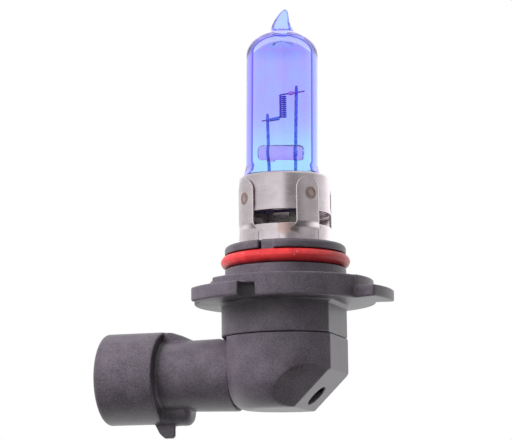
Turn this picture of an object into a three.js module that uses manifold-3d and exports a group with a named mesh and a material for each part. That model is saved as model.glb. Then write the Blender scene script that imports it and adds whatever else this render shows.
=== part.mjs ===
// Right-angled headlight bulb: a halogen burner in a metal collar, held by a flanged plastic base.
// Millimetres, +Z towards the glass tip, the connector points along -X.
// The origin is where the bulb's axis meets the top face of the mounting flange.
import * as THREE from 'three';
import { mergeVertices } from 'three/addons/utils/BufferGeometryUtils.js';
import Module from 'manifold-3d';

const wasm = await Module();
wasm.setup();

// Burner
const glassRadius = 6.6;
const glassWall = 1.0;
const glassShoulder = 7.0;
const shoulderBottom = 17.2;
const dome = { base: 42.5, rise: 4.75, innerBase: 42.0, innerRise: 3.75 };
const tipHeight = 51.4;
const pinchSize = [12.4, 3.6];
const pinchBottom = 5.0;
const cavityFloor = 18.6;
const postRadius = 0.3;
const longPost = { top: [2.53, 36.6], foot: [2.08, 18.0] };
const shortPost = { top: [-2.83, 31.7], foot: [-3.09, 18.0] };
const postStub = 14.2;
const coil = { x: -0.2, bottom: 30.7, top: 34.9, radius: 0.56, wire: 0.12, turns: 9 };
const legReach = { upper: 4.12, lower: -4.0, y: -0.56 };
const bar = { x: -0.6, z: 24.0, radius: 1.55, length: 8.7, tilt: 3.5 };
const foilSize = [2.2, 0.25, 6.2];
const foilTop = 13.9;
const leadRadius = 0.35;
const clearance = 0.3;

// Metal collar and the fingered sleeve around it
const sheet = 0.4;
const collar = { radius: 8.28, bottom: 12.45, top: 19.4, mouth: 7.3, shoulder: 1.2 };
const sleeve = { radius: 8.4, bottom: 0.9, top: 10.0 };
const finger = { radius: 8.84, top: 18.5, width: 4.6, root: 9.2, angles: [-130, -45, 45, 135] };
const clipHeight = 13.4;

// Plastic base
const pilotRadius = 11.0;
const groove = { radius: 9.3, bottom: 2.6, top: 5.2 };
const rimTop = 6.85;
const rimNotch = { angles: [-91, 29, 149], width: 2.2, radius: 10.0 };
const ring = { section: 1.17, radius: 10.55, height: 3.88 };
const sleeveBore = 8.75;
const leadBore = 5.0;
const flangeStep = -1.7;
const flangeBottom = -3.8;
const bodyRadius = 11.7;
const flangeFillet = 0.5;
const flatFace = 9.65;
const seamHeight = -9.7;
const plateSectors = [
  [19.6, -22.8, 9], [16.3, 9, 75], [19.5, 75, 140], [16.5, 140, 217],
  [18.2, 217, 256], [14.2, 256, 265], [15.4, 265, 337.2],
];
const ringSectors = [[13.4, -22.8, -8], [16.0, -8, 30], [13.8, 30, 221], [15.4, 228, 337.2]];

// Elbow and connector
const elbow = {
  bottom: -22.75, roundX: 4.7, roundZ: 6.8, flat: 9.8, back: -9.0, gap: 0.12, inner: 6.3, floor: -19.4,
};
const chamfer = { offset: 25.9, halfWidth: 7.0, holeRadius: 2.2, holeCentre: 5.46 };
const axisHeight = -16.3;
const neck = { start: 9.15, radius: 6.8, endRadius: 6.5, bore: 5.0 };
const shroud = { start: 23.0, end: 34.0, radius: 8.35, socket: 6.9, floor: 24.2, edge: 0.6 };
const hood = { end: 18.0, inner: 6.3, lipHeight: -6.6, farSide: -1.5, slant: 0.92, slantOffset: -16.34 };
const lockRamp = {
  width: 2.4, outline: [[-24.3, -24.0], [-24.3, -24.7], [-23.0, -26.8], [-20.9, -27.0], [-20.7, -24.0]],
};
const key = { angles: [60, -60], width: 1.4, length: 9.2, inner: 6.2, outer: 7.4 };
const blade = { y: 2.6, width: 2.8, thickness: 0.8, tip: -31.5 };
const riser = { front: 2.9, rear: -2.9, top: -5.6 };
const carrier = { start: -12.2, end: -24.0, radius: 4.7 };
const potting = { top: -1.2, bottom: -4.9, radius: 4.7 };

const deg = THREE.MathUtils.degToRad;
const round = 44;

// ---------- solids ----------

function toSolid(geometry) {
  const bare = geometry.clone();
  bare.deleteAttribute('normal');
  bare.deleteAttribute('uv');
  const merged = mergeVertices(bare, 1e-4);
  const corners = [...merged.index.array];
  const kept = [];
  for (let i = 0; i < corners.length; i += 3) {
    const [a, b, c] = corners.slice(i, i + 3);
    if (a !== b && b !== c && c !== a) kept.push(a, b, c);
  }
  const vertProperties = new Float32Array(merged.attributes.position.array);
  const triVerts = new Uint32Array(kept);
  return new wasm.Manifold(new wasm.Mesh({ numProp: 3, vertProperties, triVerts }));
}

function toGeometry(solid) {
  const mesh = solid.getMesh();
  const geometry = new THREE.BufferGeometry();
  geometry.setAttribute('position', new THREE.BufferAttribute(mesh.vertProperties, 3));
  geometry.setIndex(new THREE.BufferAttribute(mesh.triVerts, 1));
  geometry.computeVertexNormals();
  return geometry;
}

const join = (first, ...others) => others.reduce((sum, next) => sum.add(next), first);
const cut = (first, ...others) => others.reduce((sum, next) => sum.subtract(next), first);

// A profile of [radius, height] points turned about Z.
function turned(points, segments = round) {
  const profile = points.map(([r, z]) => new THREE.Vector2(r, z));
  return new THREE.LatheGeometry(profile, segments).rotateX(Math.PI / 2);
}

// A ring's profile closes on itself.
const turnedRing = (points, segments = round) => turned([...points, points[0]], segments);

// A profile of [radius, distance] points turned about the connector's axis, which runs along -X.
function turnedAlongX(points, segments = round) {
  const profile = points.map(([r, s]) => new THREE.Vector2(r, s));
  return new THREE.LatheGeometry(profile, segments).rotateZ(Math.PI / 2).translate(0, 0, axisHeight);
}

function rod(radius, bottom, top, x = 0, y = 0, segments = round) {
  return turned([[0, bottom], [radius, bottom], [radius, top], [0, top]], segments).translate(x, y, 0);
}

function block(xRange, yRange, zRange) {
  const [width, depth, height] = [xRange, yRange, zRange].map(([low, high]) => high - low);
  const [x, y, z] = [xRange, yRange, zRange].map(([low, high]) => (low + high) / 2);
  return new THREE.BoxGeometry(width, depth, height).translate(x, y, z);
}

// Everything beyond the plane normal.p = offset.
function beyond(normal, offset) {
  const direction = new THREE.Vector3(...normal).normalize();
  const turn = new THREE.Quaternion().setFromUnitVectors(new THREE.Vector3(0, 0, 1), direction);
  const far = new THREE.BoxGeometry(80, 80, 40).translate(0, 0, 20 + offset);
  return toSolid(far.applyQuaternion(turn));
}

// Points of an arc in a [radius, height] profile.
function arc(centreR, centreZ, radiusR, radiusZ, from, to, steps) {
  return Array.from({ length: steps + 1 }, (_, i) => {
    const angle = deg(from + ((to - from) * i) / steps);
    return [centreR + radiusR * Math.cos(angle), centreZ + radiusZ * Math.sin(angle)];
  });
}

// A plate whose outline steps between arcs of different radius about Z.
function sectorPlate(sectors, bottom, top) {
  const shape = new THREE.Shape();
  sectors.forEach(([radius, from, to]) => shape.absarc(0, 0, radius, deg(from), deg(to), false));
  shape.closePath();
  const options = { depth: top - bottom, bevelEnabled: false, curveSegments: 16 };
  return new THREE.ExtrudeGeometry(shape, options).translate(0, 0, bottom);
}

function wire(points, radius, steps, sides = 8) {
  const section = new THREE.Shape().absarc(0, 0, radius, 0, 2 * Math.PI, false);
  const path = new THREE.CatmullRomCurve3(points.map((p) => new THREE.Vector3(...p)), false, 'centripetal');
  const options = { steps, extrudePath: path, curveSegments: sides / 2, bevelEnabled: false };
  return new THREE.ExtrudeGeometry(section, options);
}

// ---------- assembly ----------

const bulb = new THREE.Group();
const burner = new THREE.Group();
bulb.add(burner);

function addPart(parent, name, shape, color, roughness, metalness) {
  const geometry = shape.isBufferGeometry ? shape : toGeometry(shape);
  const material = new THREE.MeshStandardMaterial({ color, roughness, metalness });
  const mesh = new THREE.Mesh(geometry, material);
  mesh.name = name;
  parent.add(mesh);
}

const steel = [0xb9b2b4, 0.3, 1.0];
const molybdenum = [0x5c5f78, 0.35, 1.0];
const tungsten = [0x3a3a52, 0.4, 1.0];
const blackPlastic = [0x454247, 0.6, 0.0];

// ---------- burner ----------

function glassEnvelope() {
  const outside = [
    [0, shoulderBottom], [6.0, shoulderBottom], [glassShoulder, shoulderBottom + 1.4],
    [glassShoulder, shoulderBottom + 2.9], [glassRadius, shoulderBottom + 4.2],
    ...arc(0, dome.base, glassRadius, dome.rise, 0, 90, 8),
  ];
  const bore = glassRadius - glassWall;
  const inside = [
    [0, cavityFloor], [bore - 1, cavityFloor], [bore, cavityFloor + 1],
    ...arc(0, dome.innerBase, bore, dome.innerRise, 0, 90, 8),
  ];
  const domeTop = dome.base + dome.rise;
  const tip = turned([
    [0, domeTop - 0.7], [2.1, domeTop - 0.7], [1.6, domeTop + 1.3], [1.0, domeTop + 2.8],
    [0.3, tipHeight - 0.1], [0, tipHeight],
  ], 16).translate(0, 0, -domeTop).rotateY(deg(7)).translate(0, 0, domeTop);
  const [wide, thick] = pinchSize;
  const pinchWidth = [-wide / 2 - 0.5, wide / 2 - 0.5];
  const pinch = block(pinchWidth, [-thick / 2, thick / 2], [pinchBottom, cavityFloor - 1]);
  const hollows = [turned(inside)];
  for (const { foot: [x] } of [longPost, shortPost]) {
    const [foilWidth, foilThickness] = foilSize.map((size) => size / 2 + clearance);
    hollows.push(rod(postRadius + clearance, foilTop - 0.5, cavityFloor + 1, x, 0, 16));
    const slit = [x - foilWidth, x + foilWidth];
    hollows.push(block(slit, [-foilThickness, foilThickness], [pinchBottom - 1, 14.1]));
  }
  return cut(join(toSolid(turned(outside)), toSolid(pinch), toSolid(tip)), ...hollows.map(toSolid));
}
addPart(burner, 'glass_envelope', glassEnvelope(), 0xa9b0f0, 0.05, 0.0);

const supportPost = ({ top, foot }) => wire(
  [[foot[0], 0, postStub + 0.1], [foot[0], 0, foot[1]], [top[0], 0, top[1]]], postRadius, 12);
addPart(burner, 'long_support_post', supportPost(longPost), ...molybdenum);
addPart(burner, 'short_support_post', supportPost(shortPost), ...molybdenum);

// The clear rod that ties the two posts: the posts pass through it.
function bridgeBar() {
  const rodShape = rod(bar.radius, -bar.length / 2, bar.length / 2, 0, 0, 32)
    .rotateY(Math.PI / 2 + deg(bar.tilt)).translate(bar.x, 0, bar.z);
  const holes = [longPost, shortPost].map((post) => {
    const [[topX, topZ], [footX, footZ]] = [post.top, post.foot];
    const x = footX + ((topX - footX) * (bar.z - footZ)) / (topZ - footZ);
    return toSolid(rod(postRadius + 0.15, bar.z - 3, bar.z + 3, x, 0, 16));
  });
  return cut(toSolid(rodShape), ...holes);
}
addPart(burner, 'bridge_bar', bridgeBar(), 0xc8cdf4, 0.05, 0.0);

// The coil's axis stands parallel to the bulb's, and each leg crosses in front of its post.
function filament() {
  const points = [[legReach.upper, legReach.y, coil.top + 0.2], [1.0, legReach.y, coil.top + 0.15]];
  const perTurn = 10;
  for (let i = 0; i <= coil.turns * perTurn; i += 1) {
    const angle = -Math.PI / 2 - (2 * Math.PI * i) / perTurn;
    const height = coil.top - ((coil.top - coil.bottom) * i) / (coil.turns * perTurn);
    points.push([coil.x + coil.radius * Math.cos(angle), coil.radius * Math.sin(angle), height]);
  }
  points.push([-1.5, legReach.y, coil.bottom - 0.3], [legReach.lower, legReach.y, coil.bottom - 0.5]);
  return wire(points, coil.wire, 125, 6);
}
addPart(burner, 'filament', filament(), ...tungsten);

function legSleeve(x, z) {
  const [inner, outer, half] = [0.26, 0.42, 0.35];
  return turnedRing([[inner, -half], [outer, -half], [outer, half], [inner, half]], 16)
    .rotateY(Math.PI / 2).translate(x, legReach.y, z);
}
addPart(burner, 'upper_leg_sleeve', legSleeve(1.7, coil.top + 0.17), 0xb08a90, 0.4, 1.0);
addPart(burner, 'lower_leg_sleeve', legSleeve(-1.75, coil.bottom - 0.32), 0x30304a, 0.4, 1.0);

const sides = [
  { tag: 'front', post: longPost, y: -1, riserX: riser.front },
  { tag: 'rear', post: shortPost, y: 1, riserX: riser.rear },
];

for (const { tag, post } of sides) {
  const [width, thickness, height] = foilSize;
  const x = post.foot[0];
  const span = [x - width / 2, x + width / 2];
  const foil = block(span, [-thickness / 2, thickness / 2], [foilTop - height, foilTop]);
  addPart(burner, `${tag}_seal_foil`, foil, 0x8d8f98, 0.3, 1.0);
}

// Each outer lead leaves the pinch, spreads sideways and runs down beside its terminal.
for (const { tag, post, y, riserX } of sides) {
  const x = post.foot[0];
  const end = [riserX, y * (blade.y - 1.1)];
  const path = [
    [x, 0, 7.4], [x, 0, 2.0], [(x + end[0]) / 2, end[1] / 2, 0.2], [...end, -2.0], [...end, -8.4],
  ];
  addPart(bulb, `${tag}_outer_lead`, wire(path, leadRadius, 16), 0x9a9aa2, 0.35, 1.0);
  const tube = turnedRing([[0.65, 2.6], [0.95, 2.6], [0.95, 4.8], [0.65, 4.8]], 20).translate(x, 0, 0);
  addPart(bulb, `${tag}_lead_insulator`, tube, 0xd8d4c8, 0.8, 0.0);
}

// ---------- metal ----------

function bulbCollar() {
  const { radius, bottom, top, mouth, shoulder } = collar;
  return turnedRing([
    [radius - sheet, bottom], [radius, bottom],
    ...arc(radius - shoulder, top - shoulder, shoulder, shoulder, 0, 90, 3).slice(0, -1),
    [mouth, top], [mouth, top - sheet],
    ...arc(radius - shoulder, top - shoulder, shoulder - sheet, shoulder - sheet, 90, 0, 3).slice(1),
  ]);
}
addPart(burner, 'bulb_collar', bulbCollar(), ...steel);

// The clip's rectangular hole grips the flat pinch inside the collar.
function pinchClip() {
  const disc = rod(collar.radius - sheet - 0.15, clipHeight, clipHeight + sheet);
  const [wide, thick] = pinchSize.map((size) => size / 2 + clearance);
  const slot = block([-wide - 0.5, wide - 0.5], [-thick, thick], [clipHeight - 1, clipHeight + 1]);
  return cut(toSolid(disc), toSolid(slot));
}
addPart(burner, 'pinch_clip', pinchClip(), ...steel);

// Four fingers rise from the sleeve's edge and lie on the outside of the collar.
function fingerSleeve() {
  const { radius, bottom, top } = sleeve;
  const tube = turnedRing([[radius - sheet, bottom], [radius, bottom], [radius, top], [radius - sheet, top]]);
  const band = toSolid(turnedRing([
    [radius - sheet, finger.root], [radius, finger.root], [finger.radius, finger.root + 1.3],
    [finger.radius, finger.top], [finger.radius - sheet, finger.top],
    [finger.radius - sheet, finger.root + 1.5], [radius - sheet, finger.root + 0.3],
  ]));
  const half = finger.width / 2;
  const outline = new THREE.Shape();
  outline.moveTo(-half, 0);
  outline.lineTo(half, 0);
  outline.absarc(0, finger.top - half, half, 0, Math.PI, false);
  outline.closePath();
  const template = new THREE.ExtrudeGeometry(outline, { depth: 5, bevelEnabled: false, curveSegments: 10 });
  template.rotateX(Math.PI / 2).rotateZ(Math.PI / 2).translate(6, 0, 0);
  const fingers = finger.angles.map((angle) => band.intersect(toSolid(template.clone().rotateZ(deg(angle)))));
  return join(toSolid(tube), ...fingers);
}
addPart(burner, 'finger_sleeve', fingerSleeve(), ...steel);

// ---------- plastic base ----------

function bodyOutline(radius, flat) {
  const start = Math.acos(flat / radius);
  return new THREE.Shape().absarc(0, 0, radius, start, 2 * Math.PI - start, false).closePath();
}

function baseBody() {
  const pilot = turned([
    [0, flangeStep], [pilotRadius, flangeStep], [pilotRadius, groove.bottom],
    [groove.radius, groove.bottom], [groove.radius, groove.top], [pilotRadius, groove.top],
    ...arc(pilotRadius - 0.8, rimTop - 0.8, 0.8, 0.8, 0, 90, 3), [0, rimTop],
  ]);
  const drum = new THREE.ExtrudeGeometry(bodyOutline(bodyRadius, flatFace), {
    depth: flangeBottom - seamHeight + 1, bevelEnabled: false, curveSegments: 44,
  }).translate(0, 0, seamHeight);
  const filletFoot = flangeBottom - flangeFillet;
  const filletEdge = bodyRadius + flangeFillet;
  const underFillet = turned([
    [0, filletFoot], [bodyRadius, filletFoot],
    ...arc(filletEdge, filletFoot, flangeFillet, flangeFillet, 180, 90, 3).slice(1),
    [filletEdge, flangeBottom + 0.5], [0, flangeBottom + 0.5],
  ]);
  const notches = rimNotch.angles.map((angle) => block(
    [rimNotch.radius, pilotRadius + 1],
    [-rimNotch.width / 2, rimNotch.width / 2],
    [groove.top - 0.5, rimTop + 1],
  ).rotateZ(deg(angle)));
  const trimmedFillet = cut(toSolid(underFillet), beyond([1, 0, 0], flatFace + flangeFillet));
  const whole = join(
    toSolid(sectorPlate(plateSectors, flangeBottom, flangeStep)),
    toSolid(sectorPlate(ringSectors, flangeStep - 0.5, 0)),
    toSolid(pilot), toSolid(drum), trimmedFillet,
  );
  const bores = [rod(sleeveBore, 0.4, rimTop + 1), rod(leadBore, seamHeight - 1, 1)];
  return cut(whole, ...[...bores, ...notches].map(toSolid));
}
addPart(bulb, 'base_body', baseBody(), ...blackPlastic);

const sealRing = turnedRing(arc(ring.radius, ring.height, ring.section, ring.section, 0, 330, 11), 48);
addPart(bulb, 'o_ring', sealRing, 0xbe2d37, 0.45, 0.0);

function basePotting() {
  const plug = toSolid(rod(potting.radius, potting.bottom, potting.top, 0, 0, 48));
  const holes = sides.map(({ y, riserX }) => toSolid(
    rod(1.3, potting.bottom - 1, potting.top + 1, riserX, y * (blade.y - 1.1), 20)));
  return cut(plug, ...holes);
}
addPart(bulb, 'base_potting', basePotting(), 0x2b2a2c, 0.7, 0.0);

// ---------- elbow and connector ----------

function elbowCover() {
  const { bottom, roundX, roundZ, flat, back, gap, inner, floor } = elbow;
  const top = seamHeight - gap;
  const form = turned([
    [0, bottom], [bodyRadius - roundX, bottom],
    ...arc(bodyRadius - roundX, bottom + roundZ, roundX, roundZ, -90, 0, 7).slice(1),
    [bodyRadius, top], [0, top],
  ]);
  const slant = Math.SQRT1_2;
  const facetOffset = 0.5 * chamfer.offset + slant * chamfer.halfWidth;
  const cuts = [
    beyond([1, 0, 0], flat), beyond([-1, 0, 0], -back), beyond([slant, 0, -slant], slant * chamfer.offset),
    beyond([0.5, -slant, -0.5], facetOffset), beyond([0.5, slant, -0.5], facetOffset),
  ];
  const hole = rod(chamfer.holeRadius, -6, 6, 0, 0, 24).rotateY(deg(135))
    .translate(chamfer.holeCentre, 0, chamfer.holeCentre - chamfer.offset);
  const shaft = rod(inner, floor, top + 1, 0, 0, 48);
  const duct = turnedAlongX([[0, -0.5], [neck.bore, -0.5], [neck.bore, 12], [0, 12]], 48);
  return cut(toSolid(form), ...cuts, toSolid(hole), toSolid(shaft), toSolid(duct));
}
addPart(bulb, 'elbow_cover', elbowCover(), ...blackPlastic);

function connectorShell() {
  const form = turnedAlongX([
    [0, neck.start], [neck.radius, neck.start], [neck.endRadius, 19], [neck.endRadius, shroud.start],
    [shroud.radius, shroud.start], ...arc(shroud.radius - shroud.edge, shroud.end - shroud.edge,
      shroud.edge, shroud.edge, 0, 90, 4), [0, shroud.end],
  ]);
  const hollow = turnedAlongX([
    [0, neck.start - 1], [neck.bore, neck.start - 1], [neck.bore, shroud.floor],
    [shroud.socket, shroud.floor], [shroud.socket, shroud.end + 1], [0, shroud.end + 1],
  ]);
  const hoodRing = turnedAlongX([
    [hood.inner, hood.end], [shroud.radius, hood.end], [shroud.radius, shroud.start + 0.4],
    [hood.inner, shroud.start + 0.4], [hood.inner, hood.end],
  ]);
  const openSide = block([-23.0, 0], [-12, hood.farSide], [axisHeight + hood.lipHeight, axisHeight + 12]);
  const upperHalf = toSolid(block([-23.0, 0], [-12, 12], [axisHeight, axisHeight + 12]));
  const slantedEdge = beyond([1, -hood.slant, 0], hood.slantOffset).intersect(upperHalf);
  const hoodPart = cut(toSolid(hoodRing), toSolid(openSide), slantedEdge);
  const rampShape = new THREE.Shape(lockRamp.outline.map(([x, z]) => new THREE.Vector2(x, z)));
  const ramp = new THREE.ExtrudeGeometry(rampShape, { depth: lockRamp.width, bevelEnabled: false })
    .rotateX(Math.PI / 2).translate(0, lockRamp.width / 2, 0);
  const keyStart = -shroud.floor + 0.2;
  const keys = key.angles.map((angle) => block(
    [keyStart - key.length, keyStart], [-key.width / 2, key.width / 2], [key.inner, key.outer],
  ).rotateX(deg(angle)).translate(0, 0, axisHeight));
  const underDrum = block([-12.3, 0], [-12, 12], [seamHeight - elbow.gap, 0]);
  const shell = cut(toSolid(form), toSolid(hollow), toSolid(underDrum));
  return join(shell, hoodPart, toSolid(ramp), ...keys.map(toSolid));
}
addPart(bulb, 'connector_shell', connectorShell(), ...blackPlastic);

// The carrier is the insulator through which both blades enter the socket.
function terminalCarrier() {
  const disc = turnedAlongX([[0, -carrier.start], [carrier.radius, -carrier.start],
    [carrier.radius, -carrier.end], [0, -carrier.end]], 48);
  const slots = [-1, 1].map((side) => {
    const halfThick = blade.thickness / 2 + 0.25;
    const halfWide = blade.width / 2 + 0.25;
    return toSolid(block([-30, -5], [side * blade.y - halfThick, side * blade.y + halfThick],
      [axisHeight - halfWide, axisHeight + halfWide]));
  });
  return cut(toSolid(disc), ...slots);
}
addPart(bulb, 'terminal_carrier', terminalCarrier(), 0x3a383c, 0.6, 0.0);

// Each terminal is one flat strip: a blade along the connector and a riser up to the lead.
for (const { tag, y, riserX } of sides) {
  const half = blade.width / 2;
  const outline = new THREE.Shape([
    [blade.tip, axisHeight - 0.8], [blade.tip + 1, axisHeight - half], [riserX + 1, axisHeight - half],
    [riserX + 1, riser.top], [riserX - 1, riser.top], [riserX - 1, axisHeight + half],
    [blade.tip + 1, axisHeight + half], [blade.tip, axisHeight + 0.8],
  ].map(([x, z]) => new THREE.Vector2(x, z)));
  const strip = new THREE.ExtrudeGeometry(outline, { depth: blade.thickness, bevelEnabled: false });
  strip.rotateX(Math.PI / 2).translate(0, y * blade.y + blade.thickness / 2, 0);
  addPart(bulb, `${tag}_terminal`, strip, 0xc9c4bc, 0.3, 1.0);
}

export default bulb;
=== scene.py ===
# Right-angled headlight bulb: a tinted halogen burner in a metal collar, on a black plastic base
# with a red seal, and an elbow that carries the connector. Sizes are in millimetres unless noted.
import math

import bmesh
import bpy
from mathutils import Matrix, Vector


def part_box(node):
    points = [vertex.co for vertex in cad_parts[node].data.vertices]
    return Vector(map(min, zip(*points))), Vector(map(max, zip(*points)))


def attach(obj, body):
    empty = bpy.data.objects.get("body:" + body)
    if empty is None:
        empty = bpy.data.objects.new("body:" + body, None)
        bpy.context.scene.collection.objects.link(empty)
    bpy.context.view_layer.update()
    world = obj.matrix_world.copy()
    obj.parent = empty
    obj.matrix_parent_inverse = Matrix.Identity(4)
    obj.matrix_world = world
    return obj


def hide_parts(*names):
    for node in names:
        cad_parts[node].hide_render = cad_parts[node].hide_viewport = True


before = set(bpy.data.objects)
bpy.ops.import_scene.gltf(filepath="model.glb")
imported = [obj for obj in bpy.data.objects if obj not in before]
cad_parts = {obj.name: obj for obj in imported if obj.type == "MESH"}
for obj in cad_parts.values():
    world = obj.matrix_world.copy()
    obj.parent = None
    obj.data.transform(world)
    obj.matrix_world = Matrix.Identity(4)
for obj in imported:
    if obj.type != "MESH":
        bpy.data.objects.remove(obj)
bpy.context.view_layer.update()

mm = 0.001
scene = bpy.context.scene


def nodeBox(node):
    low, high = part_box(node)
    return Vector(low) / mm, Vector(high) / mm


def polar(radius, degrees, z=0.0):
    angle = math.radians(degrees)
    return Vector((radius * math.cos(angle), radius * math.sin(angle), z))


def smoothStep(low, high, value):
    t = min(max((value - low) / (high - low), 0.0), 1.0)
    return t * t * (3 - 2 * t)


collarLow, collarHigh = nodeBox("bulb_collar")
burnerX = (collarLow.x + collarHigh.x) / 2

# Camera: a long lens below the flange, looking up a little
view = {"azimuth": 17.1, "elevation": -9.3, "roll": -0.61, "distance": 345, "lens": 133.2,
        "aimBack": 7.08, "aimHeight": 11.95, "slopeRight": 0.00528, "slopeUp": -0.00037}


def makeCamera():
    azimuth, elevation, roll = (math.radians(view[key]) for key in ("azimuth", "elevation", "roll"))
    back = Vector((math.sin(azimuth) * math.cos(elevation),
                   -math.cos(azimuth) * math.cos(elevation), math.sin(elevation)))
    level = Vector((math.cos(azimuth), math.sin(azimuth), 0))
    upright = back.cross(level)
    right = math.cos(roll) * level + math.sin(roll) * upright
    up = math.cos(roll) * upright - math.sin(roll) * level
    aim = -view["aimBack"] * level + Vector((0, 0, view["aimHeight"]))
    place = aim + back * view["distance"]
    # The lens points a touch to the right of the aim
    forward = (right * view["slopeRight"] + up * view["slopeUp"] - back).normalized()
    side = forward.cross(up).normalized()
    lens = bpy.data.cameras.new("camera")
    lens.lens = view["lens"]
    lens.sensor_width = 36
    lens.clip_start = 0.01
    lens.clip_end = 10
    camera = bpy.data.objects.new("camera", lens)
    rotation = Matrix((side, side.cross(forward), -forward)).transposed()
    camera.matrix_world = Matrix.Translation(place * mm) @ rotation.to_4x4()
    scene.collection.objects.link(camera)
    scene.camera = camera
    return level


viewLevel = makeCamera()
print("camera ready")


# Shader maths: a wrapped socket adds a Math node for every sign in an expression
def plug(tree, socket, value):
    if isinstance(value, Wired):
        tree.links.new(value.socket, socket)
    elif isinstance(value, tuple) and len(value) == 3 and socket.type == "RGBA":
        socket.default_value = (*value, 1.0)
    else:
        socket.default_value = value


class Wired:
    def __init__(self, tree, socket):
        self.tree = tree
        self.socket = socket

    def maths(self, operation, first, second):
        node = self.tree.nodes.new("ShaderNodeMath")
        node.operation = operation
        plug(self.tree, node.inputs[0], first)
        plug(self.tree, node.inputs[1], second)
        return Wired(self.tree, node.outputs[0])

    def __add__(self, other):
        return self.maths("ADD", self, other)

    def __radd__(self, other):
        return self.maths("ADD", other, self)

    def __sub__(self, other):
        return self.maths("SUBTRACT", self, other)

    def __rsub__(self, other):
        return self.maths("SUBTRACT", other, self)

    def __mul__(self, other):
        return self.maths("MULTIPLY", self, other)

    def __rmul__(self, other):
        return self.maths("MULTIPLY", other, self)

    def __truediv__(self, other):
        return self.maths("DIVIDE", self, other)

    def __rtruediv__(self, other):
        return self.maths("DIVIDE", other, self)

    def __pow__(self, other):
        return self.maths("POWER", self, other)

    def __rpow__(self, other):
        return self.maths("POWER", other, self)


class Finish:
    def __init__(self, owner):
        owner.use_nodes = True
        self.owner = owner
        self.tree = owner.node_tree
        self.tree.nodes.clear()

    def node(self, kind, settings=None, inputs=None, output=0):
        made = self.tree.nodes.new(kind)
        for key, value in (settings or {}).items():
            if key == "stops":
                setStops(made.color_ramp, value)
            else:
                setattr(made, key, value)
        for key, value in (inputs or {}).items():
            plug(self.tree, made.inputs[key], value)
        return Wired(self.tree, made.outputs[output]) if made.outputs else None

    def place(self):  # where a point lies, in millimetres
        where = self.node("ShaderNodeTexCoord", output="Object")
        return self.node("ShaderNodeVectorMath", {"operation": "SCALE"}, {0: where, "Scale": 1 / mm})

    def stretched(self, place, amounts):
        return self.node("ShaderNodeVectorMath", {"operation": "MULTIPLY"}, {0: place, 1: amounts})

    def grain(self, place, scale, detail=2.0, roughness=0.5):
        return self.node("ShaderNodeTexNoise", None, {
            "Vector": place, "Scale": scale, "Detail": detail, "Roughness": roughness})

    def between(self, value, low, high):  # 0 below low, 1 above high
        return self.node("ShaderNodeMapRange", {"interpolation_type": "SMOOTHSTEP"}, {
            "Value": value, "From Min": low, "From Max": high})

    def blend(self, factor, first, second, mode="MIX"):
        settings = {"data_type": "RGBA", "blend_type": mode}
        return self.node("ShaderNodeMix", settings, {0: factor, 6: first, 7: second}, output=2)

    def away(self, place, point):  # distance from a point of the piece
        settings = {"operation": "DISTANCE"}
        return self.node("ShaderNodeVectorMath", settings, {0: place, 1: point}, output="Value")

    def apart(self, place):
        parts = self.tree.nodes.new("ShaderNodeSeparateXYZ")
        plug(self.tree, parts.inputs[0], place)
        return [Wired(self.tree, out) for out in parts.outputs]

    def relief(self, height, depth, strength=1.0):  # depth in millimetres
        return self.node("ShaderNodeBump", None, {
            "Strength": strength, "Distance": depth * mm, "Height": height})

    def surface(self, inputs):
        shader = self.node("ShaderNodeBsdfPrincipled", None, inputs)
        self.node("ShaderNodeOutputMaterial", None, {"Surface": shader})
        return self.owner


def setStops(ramp, stops):
    while len(ramp.elements) < len(stops):
        ramp.elements.new(1.0)
    for element, (position, colour) in zip(ramp.elements, stops):
        element.position = position
        element.color = (*colour, 1.0)


def newFinish(name):
    return Finish(bpy.data.materials.new(name))


# Black glass-filled nylon: pale fibres and sparkle in a soft, uneven skin
def blackNylon(name, look, darkPatch=None):
    finish = newFinish(name)
    place = finish.place()
    cloud = finish.grain(place, look["cloud"], 3.0)
    speck = finish.grain(place, look["speck"], 2.0, 0.6)
    mottle = finish.between(cloud * 0.35 + speck * 0.65, 0.34, 0.66)
    colour = finish.blend(mottle, look["deep"], look["pale"])
    fibre = finish.between(finish.grain(place, look["fibre"], 1.0), 0.69, 0.80)
    colour = finish.blend(fibre * look["sparkle"], colour, look["glint"])
    roughness = look["roughness"] + (speck - 0.5) * 0.24 + (cloud - 0.5) * 0.1
    # A darker, glossier patch with a wavy edge, round a given point of the piece
    if darkPatch:
        edge = finish.away(place, darkPatch["centre"]) + (finish.grain(place, 0.9, 3.0) - 0.5) * 3.2
        patchMask = 1 - finish.between(edge, darkPatch["reach"] * 0.1, darkPatch["reach"])
        colour = finish.blend(patchMask * 0.4, colour, darkPatch["colour"])
        roughness = roughness - patchMask * 0.16
    height = speck * 0.6 + finish.grain(place, look["fibre"], 2.0) * 0.4
    return finish.surface({
        "Base Color": colour, "Roughness": roughness, "Specular IOR Level": look["gloss"],
        "Normal": finish.relief(height, look["relief"])})


nylonLook = {"deep": (0.036, 0.029, 0.038), "pale": (0.084, 0.069, 0.088), "glint": (0.34, 0.31, 0.36),
             "cloud": 0.3, "speck": 4.6, "fibre": 6.0, "sparkle": 0.45, "roughness": 0.45,
             "gloss": 0.55, "relief": 0.045}


# Drawn sheet steel with fine lines round the part
def drawnSteel(name, look):
    finish = newFinish(name)
    place = finish.place()
    lines = finish.grain(finish.stretched(place, (0.35, 0.35, 14.0)), 1.0, 3.0)
    cloud = finish.grain(place, 0.5, 2.0)
    shade = finish.between(lines * 0.45 + cloud * 0.55, 0.3, 0.7)
    colour = finish.blend(shade, look["dull"], look["bright"])
    roughness = look["roughness"] + (lines - 0.5) * 0.16 + (cloud - 0.5) * 0.1
    return finish, place, colour, roughness, lines


collarLook = {"dull": (0.57, 0.51, 0.54), "bright": (0.71, 0.64, 0.675), "roughness": 0.28, "relief": 0.004}


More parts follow.
